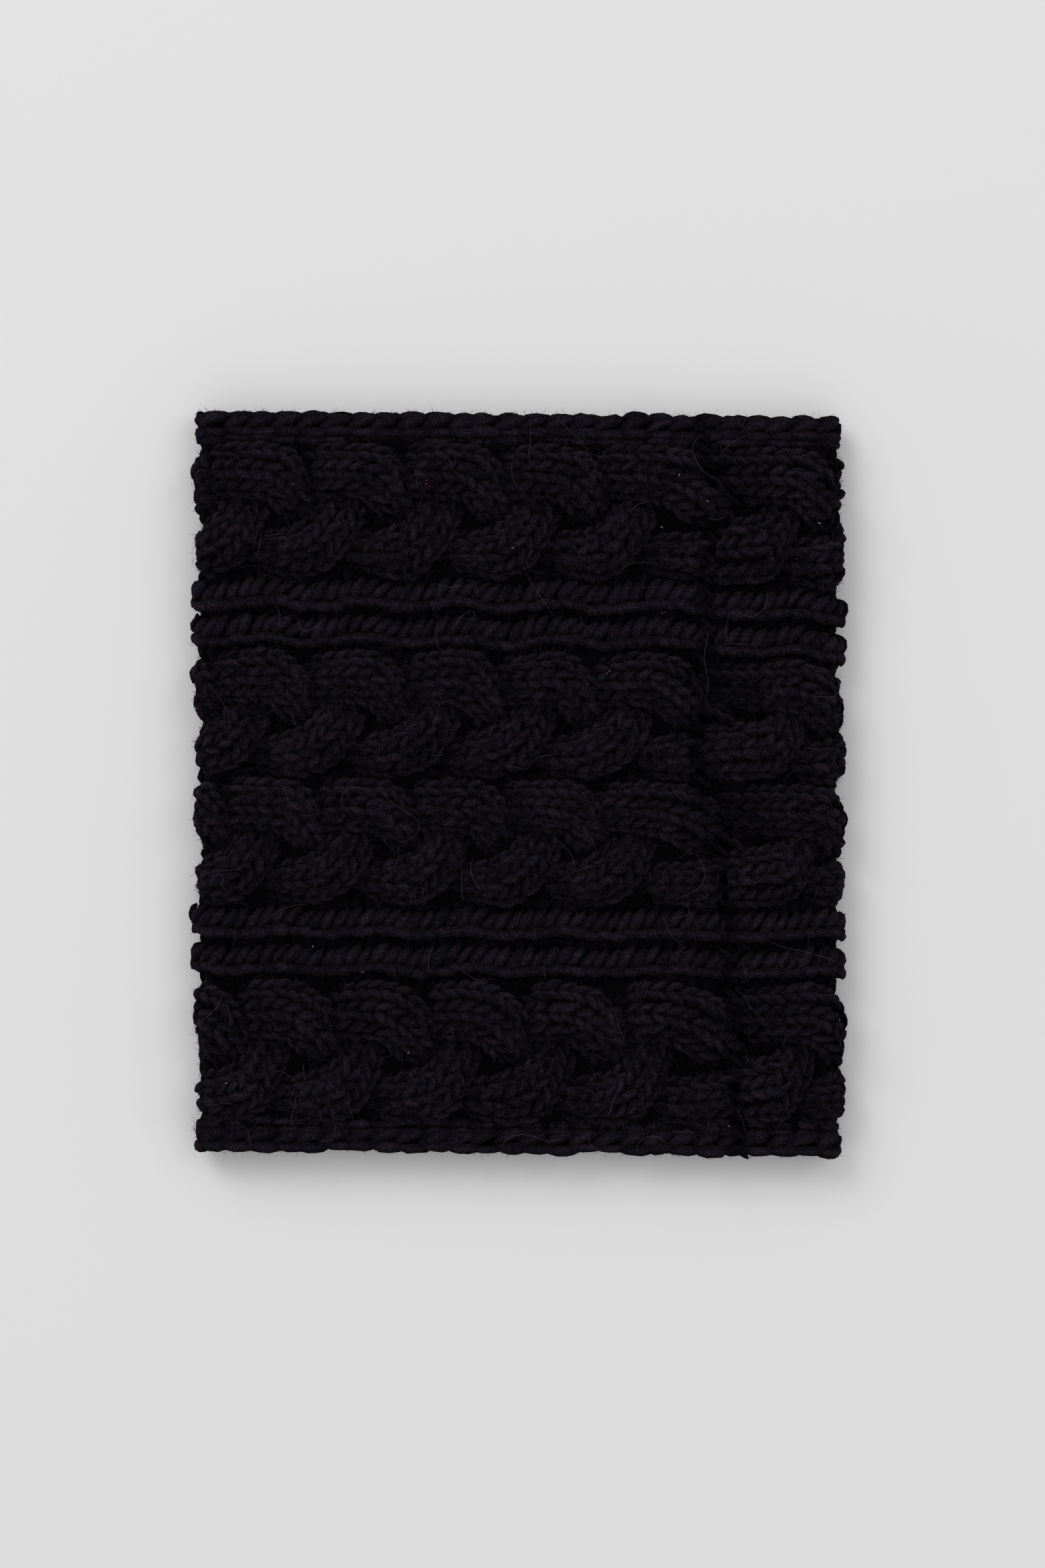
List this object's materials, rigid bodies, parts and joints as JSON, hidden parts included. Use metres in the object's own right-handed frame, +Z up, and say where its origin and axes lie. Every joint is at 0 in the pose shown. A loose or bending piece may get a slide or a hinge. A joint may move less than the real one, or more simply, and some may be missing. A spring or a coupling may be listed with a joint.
{
  "type": "knitted neck warmer",
  "caption": "Chunky cable-knit neck warmer laid flat: a tube of braids and ribs running round the neck, closed by an upright seam on the front.",
  "frame": {"origin": "centre of the bounding box at the level of the surface that the garment lies on", "axes": "+X across the front from the fold far from the seam to the fold near it, +Y up to the top edge, +Z up from the surface, through both layers"},
  "size_m": [0.2642, 0.2998, 0.0215],
  "materials": {
    "wool": "brushed chunky wool yarn, nearly black with an aubergine tint"
  },
  "bodies": {
    "root": {"knitted_strip": "wool"}
  },
  "joints": []
}
